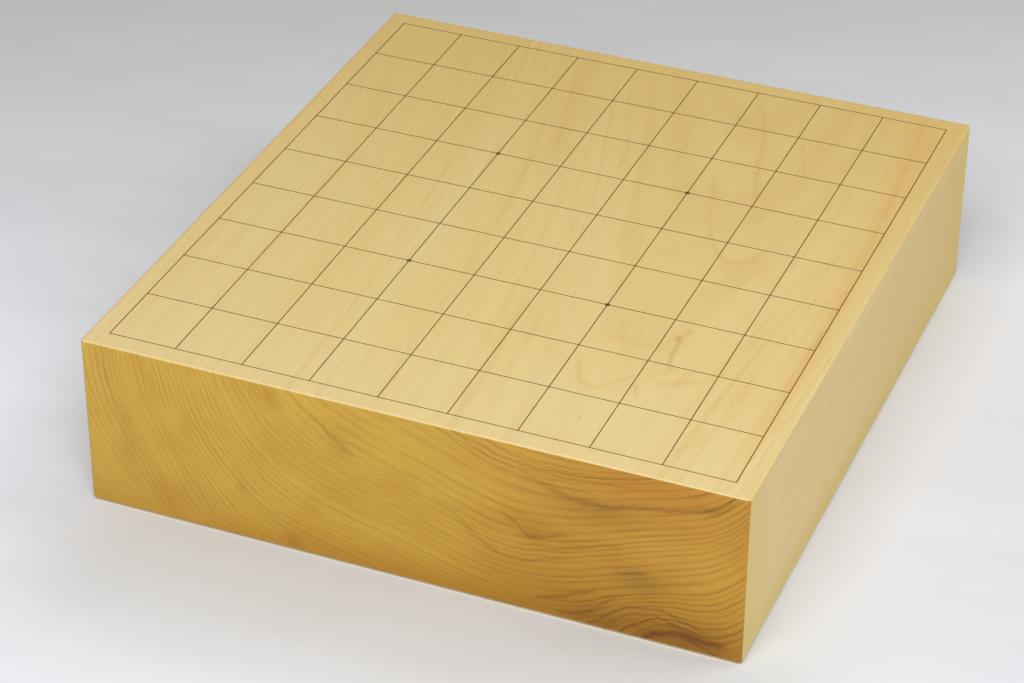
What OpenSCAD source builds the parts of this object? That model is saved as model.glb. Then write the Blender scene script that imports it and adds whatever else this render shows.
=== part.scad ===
// Tabletop board for shogi: one planed block of wood with a raised lacquer grid of 9 by 9 squares.
// Millimetres. The players sit at -Y and +Y, the underside lies on z = 0 and the block is centred.
// The wood's grain runs along Y, from player to player, so the end grain faces the players.

/* [Block] */
// Width of the block across the files, from side to side
board_width = 333; // [240:1:420]
// Length of the block along the files, from player to player
board_length = 364; // [260:1:460]
// Thickness of the block
board_thickness = 93; // [15:1:180]
// Chamfer planed along the four top edges, measured along each face
top_chamfer = 0.8; // [0.2:0.1:3]
// Chamfer planed down the four upright corners, measured along each face
corner_chamfer = 1.2; // [0.2:0.1:4]
// Chamfer planed along the four bottom edges, measured along each face
bottom_chamfer = 2; // [0.2:0.1:5]

/* [Grid] */
// Bare wood between a side of the block and the middle of the outermost line along the files
side_margin = 10.35; // [6:0.05:30]
// Bare wood between an end of the block and the middle of the outermost line along the ranks
end_margin = 10.55; // [6:0.05:30]

/* [Lacquer lines] */
// Width of a line of lacquer where it meets the wood
line_width = 0.6; // [0.4:0.05:1.4]
// Width of the flat crown of a line of lacquer
line_crown = 0.3; // [0.1:0.05:0.35]
// Height of a line of lacquer above the wood
line_height = 0.15; // [0.12:0.01:0.3]
// Height to which the flanks of a line stand upright, before they slope in to the crown
line_shoulder = 0.05; // [0.02:0.01:0.1]
// Height that a line along the ranks gains where it is laid over a line along the files
crossing_rise = 0.1; // [0.05:0.01:0.1]
// Length over which a line along the ranks climbs to a crossing and comes down again
crossing_ramp = 0.6; // [0.2:0.1:2]

/* [Star points] */
// Diameter of a star point where it meets the wood
star_diameter = 3; // [2.4:0.1:5]
// Height of a star point above the wood
star_height = 0.45; // [0.42:0.01:0.8]

/* [Hidden] */
// A shogi board has nine squares each way, and its star points mark off three at each corner.
squares = 9;
star_squares = 3;
lines = squares + 1;

square_width = (board_width - 2 * side_margin) / squares;
square_length = (board_length - 2 * end_margin) / squares;
grid_width = squares * square_width;
grid_length = squares * square_length;

// The block's cutting profiles reach past its faces by this much, so that only the chamfers cut.
past = 10;
// The star points' round outline is a true circle.
star_facets = 240;

star_corners = [
    ["star_point_front_left", star_squares, star_squares],
    ["star_point_front_right", squares - star_squares, star_squares],
    ["star_point_back_left", star_squares, squares - star_squares],
    ["star_point_back_right", squares - star_squares, squares - star_squares],
];

wood = "#d9bd78";
lacquer = "#241a14";

// Place of the line that has the given number of squares on its left, or in front of it.
function line_x(count) = count * square_width - grid_width / 2;
function line_y(count) = count * square_length - grid_length / 2;

// Rectangle from -width / 2 to width / 2 and from low to high, with one chamfer at its two
// lower corners and another at its two upper ones.
module chamfered_outline(width, low, high, lower, upper) {
    side = width / 2;
    polygon([
        [-side + lower, low],
        [side - lower, low],
        [side, low + lower],
        [side, high - upper],
        [side - upper, high],
        [-side + upper, high],
        [-side, high - upper],
        [-side, low + lower],
    ]);
}

// Extrudes an outline drawn in Y and Z along X, centred.
module along_x(length) {
    rotate([90, 0, 90])
        linear_extrude(length, center = true)
            children();
}

// Extrudes an outline drawn in X and Z along Y, centred.
module along_y(length) {
    rotate([90, 0, 0])
        linear_extrude(length, center = true)
            children();
}

// The block is what three chamfered prisms have in common, one seen from each direction.
module board_block() {
    color(wood)
        intersection() {
            translate([0, 0, -past])
                linear_extrude(board_thickness + 2 * past)
                    chamfered_outline(
                        board_width, -board_length / 2, board_length / 2, corner_chamfer, corner_chamfer);
            along_x(board_width + 2 * past)
                chamfered_outline(board_length, 0, board_thickness, bottom_chamfer, top_chamfer);
            along_y(board_length + 2 * past)
                chamfered_outline(board_width, 0, board_thickness, bottom_chamfer, top_chamfer);
        }
}

// Section of a line of lacquer that stands on z = 0: upright flanks up to the shoulder, and
// slopes from there to the crown. A raised line keeps its slopes and has taller flanks.
module bead_section(raised = 0) {
    flank = line_width / 2;
    crown = line_crown / 2;
    polygon([
        [-flank, 0],
        [flank, 0],
        [flank, line_shoulder + raised],
        [crown, line_height + raised],
        [-crown, line_height + raised],
        [-flank, line_shoulder + raised],
    ]);
}

// A file line ends flush with the outer flanks of the outermost rank lines.
module file_bead(number) {
    translate([line_x(number - 1), 0, board_thickness])
        along_y(grid_length + line_width)
            bead_section();
}

module file_line(number) {
    color(lacquer)
        file_bead(number);
}

// The stretch of a rank line that rides over one file line: it climbs from the wood up to the
// raised height at the file line's flank, runs level over it and comes down alike.
module crossing_saddle() {
    top = line_height + crossing_rise;
    level = line_width / 2;
    foot = level + crossing_ramp;
    intersection() {
        along_x(2 * foot)
            bead_section(crossing_rise);
        along_y(2 * line_width)
            polygon([
                [-foot, 0],
                [foot, 0],
                [level, top],
                [-level, top],
            ]);
    }
}

// A rank line is laid over the file lines that are there already: it rises over each of them,
// is hollowed beneath by it, and ends flush with the outer flanks of the outermost two.
module rank_bead(number) {
    difference() {
        translate([0, line_y(number - 1), board_thickness])
            intersection() {
                union() {
                    along_x(grid_width + line_width)
                        bead_section();
                    for (count = [0 : squares])
                        translate([line_x(count), 0, 0])
                            crossing_saddle();
                }
                along_x(grid_width + line_width)
                    square(past, center = true);
            }
        for (crossed = [1 : lines])
            file_bead(crossed);
    }
}

module rank_line(number) {
    color(lacquer)
        rank_bead(number);
}

// Radius of the sphere whose cap has the star point's diameter and height.
star_sphere = (pow(star_diameter / 2, 2) + pow(star_height, 2)) / (2 * star_height);

// Dome of lacquer with its flat foot on z = 0.
module star_dome() {
    intersection() {
        translate([0, 0, star_height - star_sphere])
            sphere(star_sphere, $fn = star_facets);
        cylinder(h = star_height, d = star_diameter, $fn = star_facets);
    }
}

// A star point is the last thing laid: its dome closes over the crossing of two lines.
module star_point(files, ranks) {
    color(lacquer)
        difference() {
            translate([line_x(files), line_y(ranks), board_thickness])
                star_dome();
            file_bead(files + 1);
            rank_bead(ranks + 1);
        }
}

board_block();

for (i = [1 : lines])
    file_line(i);

for (i = [1 : lines])
    rank_line(i);

for (star = star_corners)
    star_point(star[1], star[2]);
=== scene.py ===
import math

import bmesh
import bpy
from mathutils import Matrix, Vector, noise


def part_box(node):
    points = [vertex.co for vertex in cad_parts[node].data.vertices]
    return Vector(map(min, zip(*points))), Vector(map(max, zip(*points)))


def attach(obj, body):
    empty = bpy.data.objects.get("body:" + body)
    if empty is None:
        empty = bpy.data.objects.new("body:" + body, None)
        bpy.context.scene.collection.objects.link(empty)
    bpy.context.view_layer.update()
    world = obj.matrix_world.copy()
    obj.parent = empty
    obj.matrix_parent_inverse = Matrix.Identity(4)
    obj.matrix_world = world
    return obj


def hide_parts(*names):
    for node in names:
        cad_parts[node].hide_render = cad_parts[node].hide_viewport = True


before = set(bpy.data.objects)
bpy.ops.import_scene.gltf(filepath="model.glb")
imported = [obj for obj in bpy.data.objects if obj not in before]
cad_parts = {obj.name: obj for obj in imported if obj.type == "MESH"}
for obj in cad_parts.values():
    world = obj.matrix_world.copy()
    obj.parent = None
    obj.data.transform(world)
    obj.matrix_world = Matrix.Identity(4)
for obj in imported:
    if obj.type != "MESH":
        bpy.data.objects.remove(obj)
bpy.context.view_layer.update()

MM = 0.001

# Sizes that come from the frame, in metres.
block_low, block_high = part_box("board_block")
top_z = block_high.z
front_y = block_low.y
# The block's size in millimetres, for the wood's figure.
half_width = (block_high.x - block_low.x) / 2 / MM
block_length = (block_high.y - block_low.y) / MM
block_thickness = (block_high.z - block_low.z) / MM
squares = 9
lines = squares + 1
line_numbers = range(1, lines + 1)


def middle(low_high, axis):
    return (low_high[0][axis] + low_high[1][axis]) / 2


file_x = [middle(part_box("file_line_%d" % number), 0) for number in line_numbers]
rank_y = [middle(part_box("rank_line_%d" % number), 1) for number in line_numbers]
file_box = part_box("file_line_1")
rank_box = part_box("rank_line_1")
line_width = file_box[1].x - file_box[0].x
line_height = file_box[1].z - top_z
crossing_height = rank_box[1].z - top_z
STARS = ["front_left", "front_right", "back_left", "back_right"]

# Camera: the photograph's viewpoint, in metres. It looks at a point on the board's top face.
camera_place = Vector((0.4814, -1.2387, 0.8959))
camera_aim = Vector((0.02195, -0.10472, 0.0930))
camera_roll = math.radians(0.362)
camera_lens = 109.18
sensor_width = 36.0


def make_camera():
    data = bpy.data.cameras.new("camera")
    data.lens = camera_lens
    data.sensor_width = sensor_width
    camera = bpy.data.objects.new("camera", data)
    bpy.context.scene.collection.objects.link(camera)
    turn = (camera_aim - camera_place).to_track_quat("-Z", "Y").to_matrix()
    roll = Matrix.Rotation(camera_roll, 3, "Z")
    camera.rotation_mode = "QUATERNION"
    camera.rotation_quaternion = (turn @ roll).to_quaternion()
    camera.location = camera_place
    bpy.context.scene.camera = camera


# Studio: a pale cloth, a soft light over the front, a weaker one at the back right and an even fill.
floor_reach = 6.0
floor_gap = 0.05 * MM
light_aim = Vector((0.0, 0.0, 0.05))
# Place and size in metres, power in watts
LIGHTS = {
    "front_overhead": ((0.25, -1.25, 1.55), (1.4, 1.0), 27.8),
    "back_right": ((1.32, 0.5, 1.2), (1.2, 1.2), 11.0),
}
fill_colour = (0.96, 0.98, 1.0, 1)
fill_strength = 0.325


def soft_light(name, place, size, power):
    """A soft box that faces the board."""
    data = bpy.data.lights.new(name, "AREA")
    data.shape = "RECTANGLE"
    data.size, data.size_y = size
    data.energy = power
    light = bpy.data.objects.new(name, data)
    light.location = place
    light.rotation_euler = (light_aim - Vector(place)).to_track_quat("-Z", "Y").to_euler()
    bpy.context.scene.collection.objects.link(light)


def make_lights():
    for name, (place, size, power) in LIGHTS.items():
        soft_light(name, place, size, power)
    world = bpy.data.worlds.new("fill")
    world.use_nodes = True
    background = world.node_tree.nodes["Background"]
    background.inputs["Color"].default_value = fill_colour
    background.inputs["Strength"].default_value = fill_strength
    bpy.context.scene.world = world
    bpy.context.scene.view_settings.view_transform = "Standard"


class Graph:
    """A material's node graph, written as sums and products."""

    def __init__(self, name):
        self.material = bpy.data.materials.new(name)
        self.material.use_nodes = True
        self.tree = self.material.node_tree
        self.shader = self.tree.nodes["Principled BSDF"]

    def feed(self, socket, value):
        if isinstance(value, bpy.types.NodeSocket):
            self.tree.links.new(value, socket)
        else:
            socket.default_value = value

    def math(self, operation, first, second=0.0, third=0.0, clamp=False):
        node = self.tree.nodes.new("ShaderNodeMath")
        node.operation = operation
        node.use_clamp = clamp
        for socket, value in zip(node.inputs, (first, second, third)):
            self.feed(socket, value)
        return node.outputs[0]

    def add(self, *terms):
        total = terms[0]
        for term in terms[1:]:
            total = self.math("ADD", total, term)
        return total

    def times(self, *factors):
        product = factors[0]
        for factor in factors[1:]:
            product = self.math("MULTIPLY", product, factor)
        return product

    def minus(self, first, second):
        return self.math("SUBTRACT", first, second)

    def vector(self, operation, first, second=(0, 0, 0)):
        node = self.tree.nodes.new("ShaderNodeVectorMath")
        node.operation = operation
        self.feed(node.inputs[0], first)
        self.feed(node.inputs[1], second)
        return node.outputs["Value" if operation in ("DOT_PRODUCT", "LENGTH") else "Vector"]

    def split(self, vector):
        node = self.tree.nodes.new("ShaderNodeSeparateXYZ")
        self.feed(node.inputs[0], vector)
        return node.outputs

    def join(self, x, y, z):
        node = self.tree.nodes.new("ShaderNodeCombineXYZ")
        for socket, value in zip(node.inputs, (x, y, z)):
            self.feed(socket, value)
        return node.outputs[0]

    def shrunk(self, vector, reach):
        """The vector with each of its parts divided by a reach."""
        return self.vector("MULTIPLY", vector, [1 / part for part in reach])

    def noise(self, vector, detail=2.0, roughness=0.5):
        """Smooth noise from -1 to 1, whose grains are about one unit of the vector across."""
        node = self.tree.nodes.new("ShaderNodeTexNoise")
        self.feed(node.inputs["Vector"], vector)
        node.inputs["Scale"].default_value = 1.0
        node.inputs["Detail"].default_value = detail
        node.inputs["Roughness"].default_value = roughness
        return self.math("MULTIPLY_ADD", node.outputs[0], 2.0, -1.0)

    def smooth(self, value, low, high, to_low=0.0, to_high=1.0):
        node = self.tree.nodes.new("ShaderNodeMapRange")
        node.interpolation_type = "SMOOTHSTEP"
        for socket, number in zip(node.inputs, (value, low, high, to_low, to_high)):
            self.feed(socket, number)
        return node.outputs[0]

    def mix(self, factor, first, second, blend="MIX"):
        node = self.tree.nodes.new("ShaderNodeMix")
        node.data_type = "RGBA"
        node.blend_type = blend
        self.feed(node.inputs["Factor"], factor)
        self.feed(node.inputs[6], first)
        self.feed(node.inputs[7], second)
        return node.outputs[2]

    def spot(self, position, centre, radii):
        """One at the centre, falling off smoothly to nothing beyond the radii."""
        node = self.tree.nodes.new("ShaderNodeVectorMath")
        node.operation = "MULTIPLY_ADD"
        self.feed(node.inputs[0], position)
        node.inputs[1].default_value = [1 / radius for radius in radii]
        node.inputs[2].default_value = [-place / radius for place, radius in zip(centre, radii)]
        away = node.outputs[0]
        return self.fade(self.vector("DOT_PRODUCT", away, away))

    def spots(self, position, spots_listed, start=0.0):
        """The start and the sum of many spots, each given as centre, radii and amount."""
        total = start
        for centre, radii, amount in spots_listed:
            total = self.math("MULTIPLY_ADD", self.spot(position, centre, radii), amount, total)
        return total

    def fade(self, square):
        """One where the square of a distance is nothing, falling off smoothly as it grows."""
        return self.math("POWER", math.exp(-1), square)

    def curve(self, value, points):
        """A smooth curve through points, each a value and the number it stands for."""
        inputs = [point[0] for point in points]
        outputs = [point[1] for point in points]
        start, reach = inputs[0], inputs[-1] - inputs[0]
        base, rise = min(outputs), (max(outputs) - min(outputs)) or 1.0
        node = self.tree.nodes.new("ShaderNodeFloatCurve")
        knots = node.mapping.curves[0].points
        for _ in points[2:]:
            knots.new(0.5, 0.5)
        for index, (place, number) in enumerate(points):
            knots[index].location = ((place - start) / reach, (number - base) / rise)
        node.mapping.update()
        self.feed(node.inputs["Value"], self.math("MULTIPLY_ADD", value, 1 / reach, -start / reach))
        return self.math("MULTIPLY_ADD", node.outputs[0], rise, base)

    def stroke(self, along, across, points, reach, fading):
        """A soft line through points, each a place along it and its place across."""
        first, last = points[0][0], points[-1][0]
        away = self.times(self.minus(across, self.curve(along, points)), 1 / reach)
        opening = self.smooth(along, first - fading, first + fading)
        closing = self.smooth(along, last - fading, last + fading, 1.0, 0.0)
        return self.times(self.fade(self.times(away, away)), opening, closing)

    def strokes(self, along, across, lines_listed):
        """The summed strength of many strokes, each given as points, reach, fading and amount."""
        total = 0.0
        for points, reach, fading, amount in lines_listed:
            line = self.stroke(along, across, points, reach, fading)
            total = self.math("MULTIPLY_ADD", line, amount, total)
        return total

    def bump(self, height, distance, strength=1.0):
        node = self.tree.nodes.new("ShaderNodeBump")
        node.inputs["Strength"].default_value = strength
        node.inputs["Distance"].default_value = distance
        self.feed(node.inputs["Height"], height)
        self.feed(self.shader.inputs["Normal"], node.outputs[0])


def srgb(red, green, blue):
    """A colour given in 8-bit display levels, as linear light."""
    def linear(level):
        share = level / 255
        return share / 12.92 if share <= 0.04045 else ((share + 0.055) / 1.055) ** 2.4
    return (linear(red), linear(green), linear(blue), 1.0)


# The block's figure is one field through the whole wood, in millimetres: x from the block's
# middle, depth below the top face and inward from the front face. The rings lie round a pith
# above the board, and each swell pushes them aside near one place. The pith's place and squeeze
# and the first seven swells weren't set by hand: a program fitted them to the direction of the
# rings on the photograph's front, and they were rounded. The last two swells are given, not fitted.
pith_x = 84
pith_above = 102
pith_squeeze = 0.89
pith_fall_front = 0.02
pith_fall_back = 0.08
first_ring = 110
rings_per_mm = 0.2
rings_gained = 0.0006
ENDLESS = 420
# (x, depth, inward), (reach in x, in depth, inward), push in millimetres
SWELLS = [
    ((-167, -10, 0), (70, 33, ENDLESS), 15),
    ((-104, 103, 0), (45, 40, ENDLESS), -16),
    ((-62, 11, 0), (57, 90, ENDLESS), -18),
    ((47, 55, 0), (32, 35, ENDLESS), -5),
    ((133, 43, 0), (44, 44, ENDLESS), 14),
    ((126, 83, 0), (26, 18, 200), 12),
    ((180, 19, 0), (24, 90, ENDLESS), 22),
    ((62, 47, 0), (8, 5, 60), 1.6),
    ((-36, 22, 0), (7, 9, 60), -1.8),
]
# The grain runs straight inward from the front, and bends to the left further in.
bend_from = 120
bend = 0.00045
# Where the rings are crumpled: place, reach and how much more they waver there.
CRUMPLES = [
    ((104, 84, 0), (44, 13, 160), 2.6),
    ((70, 47, 0), (18, 12, 100), 0.8),
    ((-36, 20, 0), (14, 14, 80), 0.9),
    ((128, 42, 0), (52, 46, ENDLESS), -0.6),
]
waver = 1.15
# Reaches of the rings' slow drift and of their fine ripple, in millimetres, the first in x,
# depth and inward, the second outward from the pith, round it and inward.
drift_reach = (42, 42, 260)
drift_push = 1.6
ripple_reach = (13, 9, 110)
ripple_roughness = 0.68
# Distances round the pith are measured at this distance from it.
round_at = pith_above + 60


def ring_field(g, place, x, depth, inward):
    """Distance from the pith along the wood's own bent rings, and distance round it, in millimetres."""
    fall_gained = pith_fall_back / (2 * block_length)
    fall = g.add(g.times(inward, pith_fall_front), g.times(inward, inward, fall_gained))
    across = g.times(g.minus(x, pith_x), pith_squeeze)
    down = g.minus(g.add(depth, pith_above), fall)
    from_pith = g.math("SQRT", g.add(g.times(across, across), g.times(down, down)))
    around = g.times(g.math("ARCTAN2", across, down), round_at)
    field = g.spots(place, SWELLS, from_pith)
    slow = g.noise(g.shrunk(place, drift_reach), 1.0)
    ripple = g.noise(g.shrunk(g.join(field, around, inward), ripple_reach), 3.0, ripple_roughness)
    return g.add(field, g.times(slow, drift_push), g.times(ripple, g.spots(place, CRUMPLES, waver))), around


# Rings are counted outward, and their spacing varies slowly. Each ring's latewood line darkens
# from its start to its peak, both shares of the ring, and ends with the ring. Fainter lines lie
# between them, this many to a ring.
spacing_reach = 17
spacing_place = (3.7, 1.3)
spacing_change = 1.3
late_start, late_peak = 0.4, 0.85
faint_start, faint_peak = 0.45, 0.8
faint_per_ring = 2.63
faint_most = 0.4
# How much lines differ from ring to ring, and how they break up along their length.
ring_to_ring = 0.83
ring_to_ring_place = (8.1, 0.4)
weakest_ring = 0.52
patch_reach = (5, 26, 150)
weakest_patch = 0.3
streak_reach = (1 / 1.3, 16, 150)


def line_in(g, share, start, peak):
    """Strength of a line across its share of a ring: it darkens slowly and ends sharply."""
    return g.times(g.smooth(share, start, peak), g.smooth(share, peak, 1.0, 1.0, 0.0))


def ring_lines(g, field, around, inward):
    """The thin dark latewood line of each ring, fine streaks beside it, and a slow change between rings."""
    along_wood = g.join(field, around, inward)
    drift = g.noise(g.join(g.times(field, 1 / spacing_reach), *spacing_place), 2.0)
    outward = g.minus(field, first_ring)
    count = g.add(
        g.times(outward, rings_per_mm),
        g.times(outward, outward, rings_gained),
        g.times(drift, spacing_change))
    strength = g.noise(g.join(g.times(count, ring_to_ring), *ring_to_ring_place), 1.0)
    patchy = g.noise(g.shrunk(along_wood, patch_reach), 2.0)
    faint = line_in(g, g.math("FRACT", g.times(count, faint_per_ring)), faint_start, faint_peak)
    faint = g.times(faint, g.smooth(strength, -0.1, 0.5, 0.0, faint_most))
    late = g.add(line_in(g, g.math("FRACT", count), late_start, late_peak), faint)
    late = g.times(
        late,
        g.smooth(strength, -0.5, 0.4, weakest_ring, 1.0),
        g.smooth(patchy, -0.45, 0.45, weakest_patch, 1.0))
    streaks = g.noise(g.shrunk(along_wood, streak_reach), 3.0, 0.65)
    return late, g.smooth(streaks, -0.7, 0.8), drift


# Stains on the end grain: place, reach, colour and how strongly it covers.
STAINS = [
    ((-33, 21, 0), (9, 9, 60), srgb(186, 128, 40), 0.22),
    ((-31, 28, 0), (6, 4, 60), srgb(176, 112, 44), 0.32),
    ((-67, 6, 0), (4, 5, 60), srgb(182, 118, 34), 0.34),
    ((-145, 56, 0), (6, 14, 60), srgb(186, 130, 52), 0.35),
    ((-47, 64, 0), (4, 6, 60), srgb(186, 120, 34), 0.24),
    ((-58, 87, 0), (4, 5, 40), srgb(156, 92, 22), 0.5),
    ((95, 25, 0), (24, 6, 120), srgb(152, 104, 40), 0.5),
    ((120, 6, 0), (42, 10, 200), srgb(196, 128, 40), 0.6),
    ((138, 25, 0), (26, 7, 200), srgb(192, 126, 36), 0.4),
    ((118, 60, 0), (14, 8, 60), srgb(138, 102, 30), 0.55),
    ((94, 87, 0), (18, 6, 60), srgb(120, 78, 8), 0.58),
    ((136, 89, 0), (24, 5.5, 60), srgb(98, 56, 4), 0.78),
    ((150, 80, 0), (12, 6, 90), srgb(146, 88, 10), 0.4),
    ((0, 95, 0), (150, 9, ENDLESS), srgb(178, 124, 8), 0.5),
    ((120, 92, 0), (60, 24, 120), srgb(142, 92, 4), 0.62),
    ((66, 44, 0), (34, 9, 120), srgb(176, 122, 12), 0.5),
    ((64, 48, 0), (5, 3.5, 60), srgb(140, 84, 20), 0.45),
    ((105.5, 50, 0), (1.4, 6, 40), srgb(164, 96, 34), 0.2),
    ((70, 74, 0), (30, 20, 160), srgb(172, 116, 6), 0.34),
    ((96, 31, 0), (22, 6, 120), srgb(170, 118, 20), 0.36),
    ((150, 43, 0), (14, 13, 120), srgb(224, 180, 72), 0.4),
    ((122, 38, 0), (14, 9, 120), srgb(222, 178, 76), 0.3),
    ((-8, 46, 0), (62, 34, ENDLESS), srgb(190, 142, 14), 0.22),
    ((40, 92, 0), (90, 14, 200), srgb(170, 112, 0), 0.3),
    ((-84, 63, 0), (3, 5, 60), srgb(178, 114, 46), 0.3),
    ((-112, 37, 0), (6, 9, 60), srgb(190, 130, 46), 0.24),
    ((-5, 36, 0), (9, 7, 60), srgb(188, 126, 42), 0.22),
    ((-121, 77, 0), (12, 9, 60), srgb(184, 124, 34), 0.24),
]
# Darker lines that follow the rings on the end grain: points (x, depth) from left to right,
# reach to either side, the length over which the line fades at its ends, and strength.
END_LINES = [
    ([(12, -2), (30, 8), (45, 14), (60, 16), (75, 17.5), (92, 17)], 0.6, 5, 0.3),
    ([(22, -1), (38, 8), (50, 12), (65, 14), (88, 13.5)], 0.6, 5, 0.3),
    ([(30, -1), (42, 6), (55, 10), (70, 11.5), (90, 11), (112, 8)], 0.6, 5, 0.3),
    ([(38, -1), (48, 4), (60, 7.5), (75, 8.5), (95, 7), (115, 4)], 0.6, 5, 0.26),
    ([(66, 18), (75, 20.5), (85, 22.5), (95, 22.5), (115, 18), (135, 14), (150, 10)], 1.9, 9, 0.36),
    ([(90, 24), (100, 22), (115, 19), (135, 15), (150, 11)], 0.7, 8, 0.25),
    ([(146, 12), (150, 10), (155, 6), (159, 1)], 1.5, 2.5, 0.42),
    ([(147, 15), (152, 12), (157, 7), (161, 2)], 0.8, 2.5, 0.35),
    ([(50, 40), (55, 43), (60, 48), (63.5, 49.5), (68, 48), (73, 46), (80, 44)], 1.5, 5, 0.36),
    ([(70, 54), (80, 51), (90, 48), (96, 45), (104, 43)], 0.8, 5, 0.38),
    ([(42, 61), (55, 64), (63, 63), (70, 60), (80, 57)], 0.8, 6, 0.36),
    ([(14, 41), (20, 44), (26, 48), (30, 51), (36, 57), (43, 61)], 1.4, 5, 0.2),
    ([(105, 58), (108, 57), (113, 56), (119, 54)], 1.2, 2.5, 0.4),
    ([(66, 84), (77, 79.5), (85, 76), (94, 72)], 1.2, 6, 0.45),
    ([(78, 88), (88, 86), (94, 82), (99, 77), (104, 73)], 1.2, 5, 0.45),
    ([(90, 92), (98, 86), (105, 80), (111, 76), (118, 74), (128, 73), (136, 76), (148, 79)], 0.8, 5, 0.5),
    ([(96, 92), (104, 86), (110, 81), (116, 78), (124, 77), (133, 79), (146, 81)], 0.8, 5, 0.45),
    ([(107, 92), (112, 86), (118, 82), (128, 80), (138, 80)], 0.9, 5, 0.4),
    ([(117, 93), (123, 88), (130, 85), (138, 83.5), (146, 84), (152, 85), (158, 84.5)], 2.1, 3, 0.86),
    ([(138, 86), (146, 87.5), (153, 90), (160, 93)], 1.0, 3, 0.5),
    ([(-45, 12), (-39, 18), (-34, 23), (-27, 28)], 1.7, 4, 0.24),
]
end_line_colour = srgb(110, 60, 8)
# The darker lines wander and break up like this, and are gone this far in from the front.
torn_reach = (6, 6, 40)
torn_push = 1.6
end_lines_depth = 70
# The ring lines' strength grows from left to right, and is more or less in these places:
# place, reach and what they add to the strength.
RING_STRENGTH = [
    ((116, 84, 0), (46, 14, 300), 0.2),
    ((18, 22, 0), (42, 26, 300), -0.2),
    ((-52, 8, 0), (20, 14, 300), -0.16),
    ((-15, 48, 0), (42, 26, 300), -0.13),
    ((116, 21, 0), (38, 11, 200), -0.26),
]
strength_left, strength_right = 0.46, 0.64
# Colours of the end grain, and how strongly the later ones cover.
gold_left, gold_right = srgb(226, 188, 76), srgb(209, 158, 50)
low_brown, low_left, low_right = srgb(194, 136, 0), 0.24, 0.5
cloud_tan, cloud_most = srgb(200, 150, 44), 0.35
ring_tan, ring_most = srgb(190, 134, 40), 0.25
streak_tan, streak_most = srgb(180, 132, 44), 0.5
ink_left, ink_right = srgb(160, 106, 22), srgb(128, 80, 10)
# Depths between which the brown of the lower part grows, and the clouds' reaches.
low_from, low_full = 60, 96
cloud_reach = (30, 22, 60)


def end_lines(g, place, x, depth, inward, streaks):
    """Strength of the darker lines on the end grain, broken up and wandering a little."""
    torn = g.noise(g.shrunk(place, torn_reach), 2.0)
    bent_depth = g.math("MULTIPLY_ADD", torn, torn_push, depth)
    total = g.strokes(x, bent_depth, END_LINES)
    broken = g.smooth(streaks, 0.1, 0.8, 0.55, 1.1)
    return g.times(total, broken, g.smooth(inward, 0, end_lines_depth, 1.0, 0.0))


def end_grain_ground(g, place, x, depth, drift, rightward):
    """Colour between the lines of the end grain, with its clouds and stains."""
    colour = g.mix(rightward, gold_left, gold_right)
    low = g.smooth(depth, low_from, low_full)
    colour = g.mix(g.times(low, g.smooth(x, -130, -40, low_left, low_right)), colour, low_brown)
    cloud = g.noise(g.shrunk(place, cloud_reach), 3.0)
    colour = g.mix(g.smooth(cloud, -0.3, 0.6, 0.0, cloud_most), colour, cloud_tan)
    colour = g.mix(g.smooth(drift, -0.4, 0.6, 0.0, ring_most), colour, ring_tan)
    for centre, radii, shade, amount in STAINS:
        colour = g.mix(g.times(g.spot(place, centre, radii), amount), colour, shade)
    return colour


def end_grain_colour(g, place, x, depth, inward, late, streaks, drift):
    """Colour of the sawn end of the log: golden on the left, browner to the right and below."""
    rightward = g.smooth(x, -10, 120)
    colour = end_grain_ground(g, place, x, depth, drift, rightward)
    colour = g.mix(g.times(streaks, streak_most), colour, streak_tan)
    strong = g.spots(place, RING_STRENGTH, g.smooth(x, -20, 110, strength_left, strength_right))
    colour = g.mix(g.times(late, strong), colour, g.mix(rightward, ink_left, ink_right))
    return g.mix(end_lines(g, place, x, depth, inward, streaks), colour, end_line_colour)


# Figure on the top face. A long mark is (inward, x) from front to back, a wide one (x, inward);
# then come its reach to either side, the length over which it fades at its ends and its strength.
# The orange streak runs along the right edge, where one ring comes up to the top face.
EDGE_STREAK = [
    ([(40, 155), (110, 155), (190, 154), (240, 152), (280, 150), (320, 147), (364, 141)], 2.4, 50, 0.24),
    ([(60, 155), (150, 155), (240, 152), (280, 151), (320, 149), (364, 144)], 8.0, 60, 0.16),
]
LONG_MARKS = [
    ([(240, 87), (256, 83), (282, 76), (310, 70), (345, 55)], 2.0, 12, 0.2),
    ([(190, 86), (205, 76), (228, 68), (243, 65), (262, 59)], 2.0, 12, 0.16),
    ([(279, 103), (288, 98), (300, 94), (312, 91)], 1.0, 6, 0.16),
    ([(240, -27), (270, -30), (300, -37), (345, -43)], 6.0, 30, 0.17),
    ([(250, 11), (265, 9), (280, 6)], 1.2, 8, 0.2),
    ([(60, 63), (66, 60), (72, 58), (80, 56)], 1.8, 5, 0.17),
    ([(86, 97), (92, 96), (98, 95.5), (105, 95), (112, 93)], 1.3, 2.5, 0.42),
    ([(56, 93), (60, 91), (67, 88)], 1.2, 3, 0.2),
    ([(92, 75), (98, 70), (105, 67), (118, 64)], 1.8, 6, 0.11),
    ([(102, 80), (108, 75), (118, 72)], 1.6, 6, 0.09),
]
WIDE_MARKS = [
    ([(62, 62), (66, 57.5), (70, 56), (74, 58), (79, 65), (86, 72)], 2.2, 4, 0.18),
    ([(91, 80), (95, 73), (98, 71.5), (103, 73), (110, 76), (117, 81)], 2.2, 4, 0.17),
    ([(84, 101), (89, 105), (93, 111)], 1.2, 2, 0.15),
    ([(84, 192), (89, 186), (95, 184), (101, 187), (106, 195)], 2.4, 4, 0.16),
]
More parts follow.
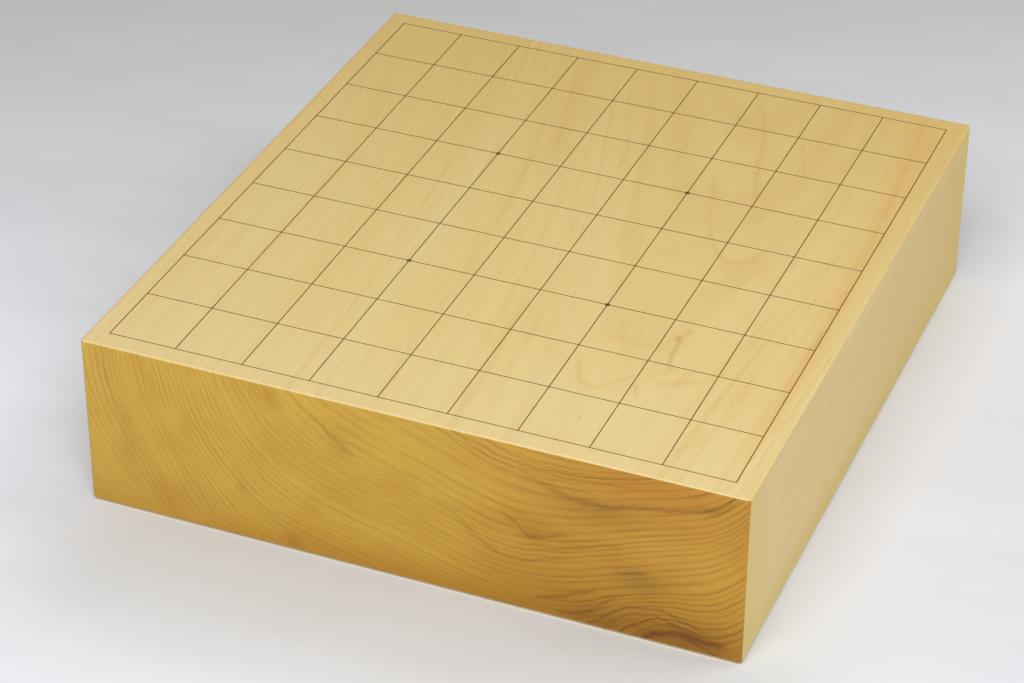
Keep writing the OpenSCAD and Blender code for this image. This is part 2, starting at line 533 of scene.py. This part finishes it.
# Spots of the same figure and small specks: (x, inward), (reach in x, inward), strength.
MARK_SPOTS = [
    ((96, 116), (1.8, 3.4), 0.34),
    ((93.5, 110), (2.0, 2.6), 0.26),
    ((99, 84), (3.0, 3.0), 0.24),
    ((97, 79), (2.4, 2.6), 0.2),
    ((95, 229), (2.0, 2.4), 0.22),
    ((85, 250), (1.8, 4.5), 0.16),
    ((0, 133), (0.7, 1.0), 0.5),
    ((3, 50), (0.6, 2.6), 0.26),
    ((11, 183), (0.8, 2.0), 0.22),
    ((106, 256), (0.6, 1.6), 0.32),
    ((142, 136), (0.7, 1.5), 0.3),
    ((74, 31), (0.6, 2.0), 0.36),
]
mark_colour = srgb(200, 140, 58)
streak_colour = srgb(222, 160, 72)
# Depth to which the marks reach. They wander and break up by a noise that is cut at one level and
# has these reaches in x and, as the third, inward.
mark_depth = 6
mark_torn_reach = (7, 1, 14)
mark_torn_level = 2.5
mark_wobble = 1.2


def top_marks(g, place, x, depth, inward):
    """Strength of the figure that slanting rings paint on the top face, and of the orange streak."""
    torn = g.noise(g.shrunk(g.join(x, mark_torn_level, inward), mark_torn_reach), 2.0)
    wobble = g.times(torn, mark_wobble)
    bent_x = g.add(x, wobble)
    bent_inward = g.add(inward, wobble)
    streak = g.strokes(bent_inward, bent_x, EDGE_STREAK)
    total = g.add(g.strokes(bent_inward, bent_x, LONG_MARKS), g.strokes(bent_x, bent_inward, WIDE_MARKS))
    total = g.spots(place, [
        ((spot_x, 0, spot_inward), (reach_x, mark_depth, reach_inward), amount)
        for (spot_x, spot_inward), (reach_x, reach_inward), amount in MARK_SPOTS
    ], total)
    near_top = g.smooth(depth, 0, mark_depth, 1.0, 0.0)
    near_top = g.times(near_top, g.smooth(torn, -0.7, 0.5, 0.55, 1.1))
    return g.times(total, near_top), g.times(streak, near_top)


# The wood is browner at the left and the back edge, and the rim of the right side is yellower.
tan_reach = 2.6
tan_strength = 0.5
rim_reach = 46
rim_strength = 0.6
# Depth from the right side at which the rim's colour starts and is full.
rim_skin, rim_full = 3, 0.5


def left_back_edge_share(g, x, inward):
    """How close the wood is to the left and the back edge."""
    left = g.smooth(x, -half_width, -half_width + tan_reach, 1.0, 0.0)
    back = g.smooth(inward, block_length - tan_reach, block_length)
    return g.math("MAXIMUM", left, back)


def side_rim(g, x, depth, inward):
    """How close the wood of the right side is to the side's ends and its lower edge."""
    front = g.smooth(inward, 0, rim_reach, 1.0, 0.0)
    back = g.smooth(inward, block_length - rim_reach, block_length)
    low = g.smooth(depth, block_thickness - rim_reach / 2, block_thickness)
    near_rim = g.math("MAXIMUM", g.math("MAXIMUM", front, back), low)
    return g.times(near_rim, g.smooth(x, half_width - rim_skin, half_width - rim_full))


# Colours of the faces along the grain, and how strongly the later ones cover. Among them are painted shade,
# darker toward the back, and painted light, lighter near the front.
pale_light, pale_dark = srgb(234, 210, 146), srgb(230, 203, 134)
fine_tan, fine_most = srgb(220, 188, 112), 0.3
far_painted_shade, far_shade_most = srgb(219, 184, 104), 0.6
near_painted_light, near_light_most = srgb(236, 213, 160), 0.35
flame_tan, flame_most = srgb(222, 176, 104), 0.26
edge_brown = srgb(214, 160, 76)
rim_yellow = srgb(222, 197, 98)
late_orange, late_most = srgb(190, 132, 62), 0.13
# Reaches in millimetres of the broad tones, the fine streaks and the flames: the first outward from
# the pith, the second inward and the third, which only the fine streaks use, in x.
broad_reach = (9, 400, 1)
fine_reach = (1, 120, 60)
flame_reach = (4, 34, 1)
# Levels at which the broad tones and the flames are cut from their noise, to make them differ.
broad_level, flame_level = 2.2, 5.6
# The painted light near the front ends at the first of these distances inward, and the painted shade toward
# the back grows between the other two.
light_until, shade_from, shade_full = 110, 120, 380


def long_grain_colour(g, place, x, depth, inward, late, field):
    """Colour of the planed faces along the grain: pale yellow with faint streaks, painted light near the
    front and painted shade toward the back.
    """
    broad = g.noise(g.shrunk(g.join(field, inward, broad_level), broad_reach), 2.0)
    colour = g.mix(g.smooth(broad, -0.6, 0.6), pale_light, pale_dark)
    fine = g.noise(g.shrunk(g.join(field, inward, x), fine_reach), 3.0)
    colour = g.mix(g.smooth(fine, -0.5, 0.6, 0.0, fine_most), colour, fine_tan)
    # Painted shade: darker and tanner toward the back.
    colour = g.mix(g.smooth(inward, shade_from, shade_full, 0.0, far_shade_most), colour, far_painted_shade)
    # Painted light: lighter and creamier near the front.
    colour = g.mix(g.smooth(inward, 0, light_until, near_light_most, 0.0), colour, near_painted_light)
    flame = g.noise(g.shrunk(g.join(field, inward, flame_level), flame_reach), 3.0, 0.6)
    rightward = g.smooth(x, -40, 90, 0.3, 1.0)
    colour = g.mix(g.times(g.smooth(flame, 0.0, 0.55, 0.0, flame_most), rightward), colour, flame_tan)
    colour = g.mix(g.times(left_back_edge_share(g, x, inward), tan_strength), colour, edge_brown)
    colour = g.mix(g.times(side_rim(g, x, depth, inward), rim_strength), colour, rim_yellow)
    marks, streak = top_marks(g, place, x, depth, inward)
    colour = g.mix(marks, colour, mark_colour)
    colour = g.mix(streak, colour, streak_colour)
    return g.mix(g.times(late, late_most), colour, late_orange)


# The planed faces show fibres and the sawn ends show pores: grains to a millimetre each way.
fibres_per_mm = (2.6, 2.6, 1 / 22)
pores_per_mm = (1.6, 1.6, 1.6)
pore_brown, pore_most = srgb(150, 108, 50), 0.16
# The wood's roughness, and what the fibres and the latewood add to it.
wood_roughness = 0.5
fibre_roughness = 0.05
late_roughness = -0.06
wood_specular = 0.35
# Height of the relief, and the shares that the fibres and the latewood of the ends have in it.
wood_relief = 0.03 * MM
fibre_relief, late_relief = 0.35, 0.5


def in_millimetres(g, coordinates):
    return g.vector("MULTIPLY", coordinates.outputs["Object"], (1 / MM, 1 / MM, 1 / MM))


# How squarely a face points along the grain: it starts to count as an end at the first value and
# counts fully at the second. Pointing up or down as well takes a share off.
end_from, end_full = 0.58, 0.70
upright_loss = -0.2


def facing_ends(g, coordinates):
    """One on the two ends of the log, and nothing on the faces along the grain and the chamfers."""
    normal = g.split(coordinates.outputs["Normal"])
    upward = g.math("ABSOLUTE", normal[2])
    endward = g.math("MULTIPLY_ADD", upward, upright_loss, g.math("ABSOLUTE", normal[1]))
    return g.smooth(endward, end_from, end_full)


def wood_material():
    g = Graph("kaya_wood")
    coordinates = g.tree.nodes.new("ShaderNodeTexCoord")
    x, raw_y, raw_z = g.split(in_millimetres(g, coordinates))
    depth = g.minus(top_z / MM, raw_z)
    inward = g.minus(raw_y, front_y / MM)
    past_bend = g.math("MAXIMUM", g.minus(inward, bend_from), 0.0)
    bent_x = g.math("MULTIPLY_ADD", g.times(past_bend, past_bend), bend, x)
    place = g.join(x, depth, inward)
    bent_place = g.join(bent_x, depth, inward)
    field, around = ring_field(g, bent_place, bent_x, depth, inward)
    late, streaks, drift = ring_lines(g, field, around, inward)
    end_share = facing_ends(g, coordinates)
    end_colour = end_grain_colour(g, bent_place, bent_x, depth, inward, late, streaks, drift)
    long_colour = long_grain_colour(g, place, x, depth, inward, late, field)
    fibre = g.noise(g.vector("MULTIPLY", place, fibres_per_mm), 3.0, 0.6)
    pore = g.noise(g.vector("MULTIPLY", place, pores_per_mm), 3.0, 0.6)
    fine = g.add(g.times(fibre, g.minus(1.0, end_share)), g.times(pore, end_share))
    colour = g.mix(end_share, long_colour, end_colour)
    colour = g.mix(g.smooth(fine, -0.9, 0.9, 0.0, pore_most), colour, pore_brown, "MULTIPLY")
    g.feed(g.shader.inputs["Base Color"], colour)
    smoother = g.math("MULTIPLY_ADD", late, late_roughness, wood_roughness)
    g.feed(g.shader.inputs["Roughness"], g.math("MULTIPLY_ADD", fine, fibre_roughness, smoother))
    g.shader.inputs["Specular IOR Level"].default_value = wood_specular
    g.bump(g.add(g.times(fine, fibre_relief), g.times(late, end_share, late_relief)), wood_relief, 0.6)
    return g.material


# Lacquer: pools of a darker and a lighter brown, as so thin a line lets some wood shine through.
lacquer_dark, lacquer_light = srgb(88, 62, 16), srgb(112, 81, 24)
pools_per_mm = (0.5, 0.5, 2.0)
grit_per_mm = (6, 6, 6)
lacquer_roughness, grit_roughness = 0.38, 0.08
lacquer_specular = 0.3
lacquer_relief = 0.02 * MM
grit_relief = 0.2


def lacquer_material():
    g = Graph("black_lacquer")
    place = in_millimetres(g, g.tree.nodes.new("ShaderNodeTexCoord"))
    pool = g.noise(g.vector("MULTIPLY", place, pools_per_mm), 2.0)
    colour = g.mix(g.smooth(pool, -0.6, 0.6), lacquer_dark, lacquer_light)
    g.feed(g.shader.inputs["Base Color"], colour)
    grit = g.noise(g.vector("MULTIPLY", place, grit_per_mm), 2.0)
    g.feed(g.shader.inputs["Roughness"], g.math("MULTIPLY_ADD", grit, grit_roughness, lacquer_roughness))
    g.shader.inputs["Specular IOR Level"].default_value = lacquer_specular
    g.bump(g.add(pool, g.times(grit, grit_relief)), lacquer_relief, 0.4)
    return g.material


# Cloth, in metres: its own tones, with painted shade far behind the board, beside its right side and in
# front of it, and painted light beside its left side.
cloth_dark, cloth_light = srgb(228, 229, 234), srgb(233, 234, 239)
cloth_far_painted_shade = srgb(206, 206, 203)
cloth_right_painted_shade = srgb(221, 222, 227)
cloth_left_painted_light = srgb(246, 247, 255)
cloth_front_painted_shadow = srgb(214, 215, 216)
# Painted shade: the cloth gets darker in this direction from the board's middle, up to this distance, where
# the light falls off.
backward = (-0.36, 0.86)
far_at = 0.48
# Patches beside the board: painted shade on the right and in front, and painted light on the left that
# lifts the board's shadow. For x and then for y: where the patch begins and is full, and where it
# starts to end and is gone. A side that is left open has none.
RIGHT_PAINTED_SHADE = [((0.13, 0.18), None), ((-0.2, -0.12), (0.05, 0.25))]
LEFT_PAINTED_LIGHT = [(None, (-0.26, -0.17)), (None, (-0.16, 0.02))]
FRONT_PAINTED_SHADOW = [((-0.2, -0.13), (0.17, 0.26)), ((-0.32, -0.22), (-0.2, -0.1))]
folds_per_m = (7, 12, 1)
threads_per_m = (900, 900, 1)
cloth_roughness = 0.9
cloth_specular = 0.1
cloth_relief = 0.01
thread_relief = 0.002
# A strip of the cloth along the block's front edge has painted light: a warm tint that lifts the shade
# under the lower chamfer, as if bounced from the wood above it. The tint, its strength, and how far
# the strip reaches out from the edge, in under it and in fading.
painted_bounce_tint = srgb(252, 244, 224)
painted_bounce_strength = 0.34
contact_out = 0.5 * MM
contact_in = 2 * MM
contact_soft = 0.5 * MM


def painted_bounce_strip(g, x, y):
    """One on the strip of cloth that lies in the gap under the front's lower chamfer, where painted light
    lifts the shade.
    """
    side = block_high.x - contact_in
    outer = g.smooth(y, front_y - contact_out, front_y - contact_out + contact_soft)
    inner = g.smooth(y, front_y + contact_in, front_y + contact_in + contact_soft, 1.0, 0.0)
    ends = g.smooth(g.math("ABSOLUTE", x), side - contact_soft, side, 1.0, 0.0)
    return g.times(outer, inner, ends)


def patch(g, x, y, limits):
    """One on a patch of the cloth, fading to nothing at its limits."""
    fades = []
    for value, (opens, closes) in zip((x, y), limits):
        if opens:
            fades.append(g.smooth(value, *opens))
        if closes:
            fades.append(g.smooth(value, *closes, 1.0, 0.0))
    return g.times(*fades)


def cloth_colour(g, x, y, fold):
    """The cloth's tone, which changes slowly from place to place, with painted shade and painted light
    around the board.
    """
    colour = g.mix(g.smooth(fold, -0.6, 0.6), cloth_dark, cloth_light)
    toward_back = g.add(g.times(x, backward[0]), g.times(y, backward[1]))
    # Painted shade: darker toward the back, where the light falls off.
    colour = g.mix(g.smooth(toward_back, 0.0, far_at), colour, cloth_far_painted_shade)
    # Painted shade on the cloth beside the board's right side.
    colour = g.mix(patch(g, x, y, RIGHT_PAINTED_SHADE), colour, cloth_right_painted_shade)
    # Painted light on the cloth left of the board, lifting the board's shadow there.
    colour = g.mix(patch(g, x, y, LEFT_PAINTED_LIGHT), colour, cloth_left_painted_light)
    # Painted shadow on the cloth in front of the board.
    colour = g.mix(patch(g, x, y, FRONT_PAINTED_SHADOW), colour, cloth_front_painted_shadow)
    # Painted light: a warm strip that lifts the shade under the front's lower chamfer.
    return g.mix(g.times(painted_bounce_strip(g, x, y), painted_bounce_strength), colour, painted_bounce_tint)


def cloth_material():
    g = Graph("pale_cloth")
    place = g.tree.nodes.new("ShaderNodeTexCoord").outputs["Object"]
    x, y, _ = g.split(place)
    fold = g.noise(g.vector("MULTIPLY", place, folds_per_m), 2.0)
    g.feed(g.shader.inputs["Base Color"], cloth_colour(g, x, y, fold))
    g.shader.inputs["Roughness"].default_value = cloth_roughness
    g.shader.inputs["Specular IOR Level"].default_value = cloth_specular
    weave = g.noise(g.vector("MULTIPLY", place, threads_per_m), 2.0)
    g.bump(g.add(fold, g.times(weave, thread_relief)), cloth_relief, 0.25)
    return g.material


def new_piece(name, mesh, material, node):
    mesh.materials.append(material)
    piece = bpy.data.objects.new(name, mesh)
    bpy.context.scene.collection.objects.link(piece)
    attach(piece, "root")
    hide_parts(node)
    return piece


def mesh_from(bm, name):
    bmesh.ops.recalc_face_normals(bm, faces=bm.faces)
    mesh = bpy.data.meshes.new(name)
    bm.to_mesh(mesh)
    bm.free()
    return mesh


# The plane leaves the edges of every chamfer crisp, and waxing and handling ease them this much.
eased_edge = 0.22 * MM
eased_steps = 3
flat_angle = math.radians(1)


def make_block(material):
    """The chamfered block with each of its edges eased by hand."""
    bm = bmesh.new()
    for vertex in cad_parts["board_block"].data.vertices:
        bm.verts.new(vertex.co)
    bmesh.ops.remove_doubles(bm, verts=bm.verts, dist=0.01 * MM)
    bmesh.ops.convex_hull(bm, input=bm.verts)
    bmesh.ops.dissolve_limit(bm, angle_limit=flat_angle, verts=bm.verts, edges=bm.edges)
    bmesh.ops.bevel(
        bm, geom=bm.edges[:], offset=eased_edge, offset_type="OFFSET", segments=eased_steps,
        profile=0.5, affect="EDGES", clamp_overlap=True,
    )
    for face in bm.faces:
        face.smooth = True
    mesh = mesh_from(bm, "planed_block")
    block = new_piece("planed_block", mesh, material, "board_block")
    weighted = block.modifiers.new("weighted", "WEIGHTED_NORMAL")
    weighted.keep_sharp = False
    return block


# Lacquer laid by hand: each bead is rounded, and wanders and swells a little along its length.
# Its width is a share of the frame's line, by the axis that the line runs in.
bead_share = {"y": 0.84, "x": 0.72}
bead_steps = 8
bead_fullness = 0.8
wander = 0.05 * MM
wander_reach = 55 * MM
swelling = 0.10
swelling_reach = 9 * MM
# Share of its size that a line has at its two ends.
narrowest_end = 0.55
# A line along the ranks rises over this much to either side of a crossing.
crossing_reach = 1.2 * MM
# A line has this many stretches between two crossings, and these stations around each of them.
stretches_between = 14
stations_near = (-1, -0.66, -0.33, 0, 0.33, 0.66, 1)


def bead_ring(width, height):
    """Points of a bead's arched section, from one foot over the crown to the other."""
    ring = []
    for step in range(bead_steps + 1):
        angle = math.pi * step / bead_steps
        ring.append((-math.cos(angle) * width / 2, math.sin(angle) ** bead_fullness * height))
    return ring


def stations(start, end, crossings):
    """Places along a line: evenly between the crossings, and closer together around each."""
    places = {start, end}
    for crossing in crossings:
        places.update(crossing + share * crossing_reach for share in stations_near)
    for first, second in zip(crossings, crossings[1:]):
        gap = second - first
        places.update(first + gap * step / stretches_between for step in range(1, stretches_between))
    return sorted(place for place in places if start <= place <= end)


def rise_at(place, crossings):
    """Share of the crossing's rise that a line has at one place along it."""
    nearest = min(abs(place - crossing) for crossing in crossings)
    if nearest >= crossing_reach:
        return 0.0
    return (1 + math.cos(math.pi * nearest / crossing_reach)) / 2


def make_bead(name, node, along, side, start, end, crossings, lift, seed, material):
    """One line of lacquer. along is the axis it runs in, and side its place on the other."""
    bm = bmesh.new()
    rows = []
    for place in stations(start, end, crossings):
        slow = noise.noise(Vector((place / wander_reach, seed * 7.3, 0.5)))
        quick = noise.noise(Vector((place / swelling_reach, seed * 3.1, 4.5)))
        taper = min(1.0, narrowest_end + min(place - start, end - place) / line_width)
        size = (1 + swelling * quick) * taper
        width = line_width * bead_share[along] * size
        height = line_height * size + lift * rise_at(place, crossings)
        row = []
        for offset, level in bead_ring(width, height):
            across = side + slow * wander + offset
            point = (across, place) if along == "y" else (place, across)
            row.append(bm.verts.new((*point, top_z + level)))
        rows.append(row)
    for row, following in zip(rows, rows[1:]):
        for step in range(bead_steps):
            face = bm.faces.new((row[step], row[step + 1], following[step + 1], following[step]))
            face.smooth = True
        bm.faces.new((row[0], following[0], following[-1], row[-1]))
    bm.faces.new(rows[0])
    bm.faces.new(rows[-1])
    new_piece(name, mesh_from(bm, name), material, node)


def make_lines(material):
    for number in line_numbers:
        make_bead(
            "lacquer_file_%d" % number, "file_line_%d" % number, "y", file_x[number - 1],
            file_box[0].y, file_box[1].y, rank_y, 0.0, number, material)
        make_bead(
            "lacquer_rank_%d" % number, "rank_line_%d" % number, "x", rank_y[number - 1],
            rank_box[0].x, rank_box[1].x, file_x, crossing_height - line_height, number + lines, material)


star_sides = 48
star_rings = 9
star_share = 0.9
star_unevenness = 0.04
star_lobes = 1.4


def make_star(corner, material, seed):
    """A drop of lacquer over a crossing: a dome with a soft, slightly uneven foot."""
    low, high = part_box("star_point_" + corner)
    centre = (low + high) / 2
    radius = (high.x - low.x) / 2 * star_share
    height = high.z - top_z
    bm = bmesh.new()
    crown = bm.verts.new((centre.x, centre.y, high.z))
    rows = []
    for ring in range(1, star_rings + 1):
        share = ring / star_rings
        level = height * (1 - share ** 2)
        row = []
        for side in range(star_sides):
            angle = 2 * math.pi * side / star_sides
            direction = Vector((math.cos(angle), math.sin(angle), seed))
            drawn_in = star_unevenness * share * abs(noise.noise(direction * star_lobes))
            reach = radius * share * (1 - drawn_in)
            row.append(bm.verts.new((
                centre.x + direction.x * reach, centre.y + direction.y * reach, top_z + level)))
        rows.append(row)
    for side in range(star_sides):
        turn = (side + 1) % star_sides
        bm.faces.new((crown, rows[0][side], rows[0][turn])).smooth = True
        for row, outer in zip(rows, rows[1:]):
            bm.faces.new((row[side], outer[side], outer[turn], row[turn])).smooth = True
    bm.faces.new(rows[-1])
    name = "lacquer_star_" + corner
    new_piece(name, mesh_from(bm, name), material, "star_point_" + corner)


def make_floor(material):
    bm = bmesh.new()
    bmesh.ops.create_grid(bm, x_segments=1, y_segments=1, size=floor_reach)
    mesh = mesh_from(bm, "floor")
    mesh.materials.append(material)
    floor = bpy.data.objects.new("floor", mesh)
    floor.location.z = -floor_gap
    bpy.context.scene.collection.objects.link(floor)


make_camera()
make_lights()
make_floor(cloth_material())
make_block(wood_material())
lacquer = lacquer_material()
make_lines(lacquer)
for index, corner in enumerate(STARS):
    make_star(corner, lacquer, index + 0.5)
